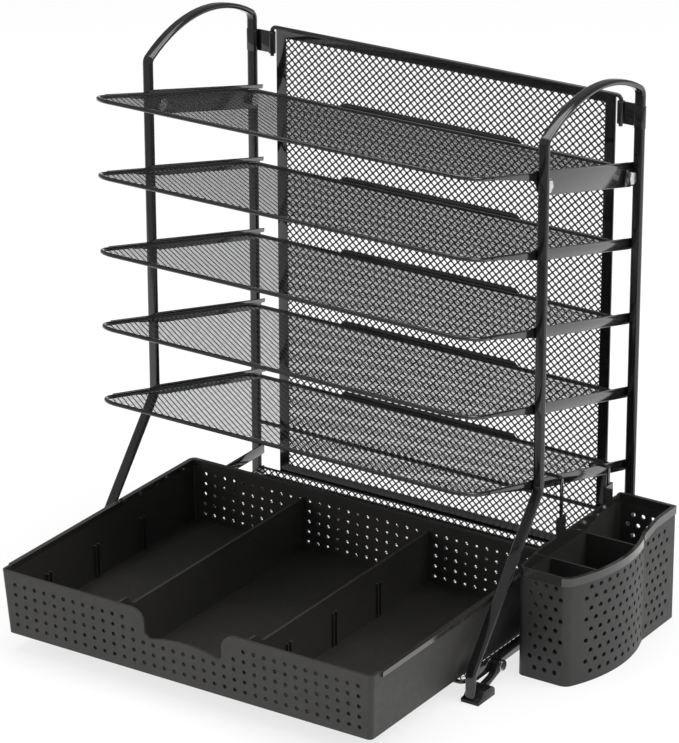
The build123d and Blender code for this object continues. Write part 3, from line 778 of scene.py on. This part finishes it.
def holder_holes():
    """Staggered rows round the pen holder's front, bulging side, rear side and back."""
    row_step = 15.75
    odd = [71.8 - row_step * row for row in range(5)]
    even = [64.0 - row_step * row for row in range(4)]
    front_wall, back_wall = -33.0, 102.5
    bulge, middle_x, middle_y, bulge_drop = 106.32, 111.4, 21.0, 1.2
    places = []
    for column in range(7):
        x = 174.3 + 3.95 * column
        rows = odd if column % 2 else even
        places += [facing(x, front_wall, z, -QUARTER) for z in rows]
        places += [facing(x, back_wall, z, QUARTER) for z in rows]
    for column in range(18):
        angle = (-40.5 + 4.32 * column) / bulge
        x, y = middle_x + bulge * math.cos(angle), middle_y + bulge * math.sin(angle)
        rows = odd if column % 2 else even
        places += [facing(x, y, z - bulge_drop, angle) for z in rows]
    for column in range(8):
        y = 64.0 + 3.97 * column
        x = HOLDER_INNER + 44.8 - 0.3 * (y - 58.8) / 43.7
        places += [facing(x, y, z, 0.0) for z in (even if column % 2 else odd)]
    return places


drawer = soften(solid_copy("drawer_tray"), 0.35 * MM)
drawer = punch_holes(drawer, 2.2, 1.45, 0.2, drawer_holes())
finish_piece(
    drawer, "drawer_moulding", "drawer", DRAWER, ["drawer_tray"], flat_walls=True
)

# The pen holder's inner wall reaches further in than the solid's, and its floor stands on the desk.
holder = solid_copy("pen_holder")
stretch(holder, "X", 0.0, HOLDER_INNER + 5.2 + SHIFT.x, HOLDER_REACH)
stretch(holder, "Z", 0.0, 4.0, -0.9)
soften(holder, 0.3 * MM)
holder = punch_holes(holder, 2.0, 1.65, 0.3, holder_holes())
finish_piece(
    holder, "pen_holder_moulding", "pen_holder", HOLDER, ["pen_holder"],
    flat_walls=True,
)


# Pieces that keep their CAD shape, or nearly so, with softened edges


def dress(node, body, material, width):
    """Shows a CAD node as it is, with its edges softened by a width in millimetres."""
    bm = soften(solid_copy(node), width * MM)
    finish_piece(bm, f"{node}_softened", body, material, [node], flat_walls=True)


panel_frame = solid_copy("back_panel_frame")
stretch(panel_frame, "Z", 0.0, 30.0, -2.3)
soften(panel_frame, 0.2 * MM)
finish_piece(
    panel_frame, "back_panel_border", "back_panel", METAL, ["back_panel_frame"]
)

for _, word in SIDES:
    dress(f"{word}_rear_foot", "stand", FOOT, 0.5)
    dress(f"{word}_divider", "drawer", DRAWER, 0.3)
dress("top_tray_bolts", "stand", STEEL, 0.3)
dress("foot_screws", "stand", STEEL, 0.3)
hooks = solid_copy("pen_holder_hooks")
stretch(hooks, "X", 160.0 + SHIFT.x, 180.0 + SHIFT.x, HOLDER_REACH)
soften(hooks, 0.15 * MM)
finish_piece(
    hooks, "pen_holder_wire_hooks", "pen_holder", METAL, ["pen_holder_hooks"]
)

# The rear cross rod is shown as it is, in the stand's paint.
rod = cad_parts["rear_cross_rod"].data
rod.materials.clear()
rod.materials.append(METAL)


# Floor, light and camera


def area_light(name, size, power, spot, target):
    light = bpy.data.lights.new(name, "AREA")
    light.shape = "RECTANGLE"
    light.size, light.size_y = size
    light.energy = power
    lamp = bpy.data.objects.new(name, light)
    lamp.location = spot
    lamp.rotation_euler = (Vector(target) - Vector(spot)).to_track_quat("-Z", "Y").to_euler()
    bpy.context.scene.collection.objects.link(lamp)
    return lamp


def make_floor():
    """White sweep that starts a little ahead of the stand and keeps its shadow."""
    bm = bmesh.new()
    half, ahead = 6.0, 0.48
    bmesh.ops.create_grid(bm, x_segments=8, y_segments=8, size=half)
    bmesh.ops.translate(bm, vec=(0.0, half - ahead, 0.0), verts=bm.verts)
    mesh = bpy.data.meshes.new("floor")
    bm.to_mesh(mesh)
    bm.free()
    floor = bpy.data.objects.new("floor", mesh)
    bpy.context.scene.collection.objects.link(floor)
    finish = Finish("white_floor")
    finish.set("Base Color", (0.9, 0.9, 0.9, 1.0))
    finish.set("Roughness", 0.9)
    path = finish.tree.nodes.new("ShaderNodeLightPath")
    rays = ("Camera", "Glossy", "Transmission")
    seen = sum(Wire(finish, path.outputs[f"Is {ray} Ray"]) for ray in rays)
    glow = {"Color": (1.0, 1.0, 1.0, 1.0), "Strength": 1.0}
    white = finish.node("ShaderNodeEmission", {}, glow)
    matt = Wire(finish, finish.surface.outputs[0])
    both = finish.node("ShaderNodeMixShader", {}, {0: seen * 0.75, 1: matt, 2: white})
    finish.feed(finish.tree.nodes["Material Output"].inputs["Surface"], both)
    mesh.materials.append(finish.material)


def make_world():
    """White for the camera; the gloss sees a dim room above the white floor."""
    studio = bpy.data.worlds.new("studio")
    bpy.context.scene.world = studio
    studio.use_nodes = True
    nodes = Nodes(studio.node_tree)
    path = nodes.tree.nodes.new("ShaderNodeLightPath")
    camera_ray, glossy, clear = (
        Wire(nodes, path.outputs[f"Is {ray} Ray"]) for ray in ("Camera", "Glossy", "Transmission")
    )
    direction = nodes.node("ShaderNodeTexCoord", output="Generated")
    depth = nodes.node("ShaderNodeSeparateXYZ", {}, {"Vector": direction}, "Y")
    room = nodes.span(depth, -0.2, 0.3, 0.4, 0.22, "SMOOTHSTEP")
    mirrored = glossy + clear
    strength = camera_ray + mirrored * room + (1.0 - camera_ray - mirrored) * 0.5
    background = nodes.tree.nodes["Background"]
    background.inputs["Color"].default_value = (1.0, 1.0, 1.0, 1.0)
    nodes.feed(background.inputs["Strength"], strength)


make_floor()
make_world()
area_light("key", (1.4, 1.2), 30.0, (1.6, 0.5, 1.7), (0.0, 0.0, 0.15))
fill = area_light("front", (2.0, 1.4), 24.0, (-1.6, -1.4, 1.1), (0.0, 0.0, 0.15))
fill.visible_glossy = False
area_light("top", (1.8, 1.8), 32.0, (-0.2, 0.1, 2.3), (0.0, 0.0, 0.1))
bpy.context.scene.view_settings.view_transform = "Standard"

# The camera fitted to the photograph: its place in the stand's lengths, its turns, and its focal
# length in pixels beside the picture's height.
CAMERA_PLACE = (1421.8, -2163.1, 1239.4)
FOCAL_PIXELS, PICTURE_PIXELS = 4036.0, 743.0
SENSOR = 36.0
azimuth, elevation, roll = (math.radians(angle) for angle in (33.34, 22.35, -0.15))
flat = math.cos(elevation)
forward = Vector((-math.sin(azimuth) * flat, math.cos(azimuth) * flat, -math.sin(elevation)))
level = Vector((math.cos(azimuth), math.sin(azimuth), 0.0))
rise = level.cross(forward)
right = level * math.cos(roll) + rise * math.sin(roll)
up = rise * math.cos(roll) - level * math.sin(roll)
lens = bpy.data.cameras.new("photo_camera")
lens.sensor_fit = "VERTICAL"
lens.sensor_height = SENSOR
lens.lens = SENSOR * FOCAL_PIXELS / PICTURE_PIXELS
lens.clip_end = 50.0
camera = bpy.data.objects.new("photo_camera", lens)
turn = Matrix((right, up, -forward)).transposed().to_4x4()
camera.matrix_world = Matrix.Translation(STAND @ Vector(CAMERA_PLACE)) @ turn
bpy.context.scene.collection.objects.link(camera)
bpy.context.scene.camera = camera
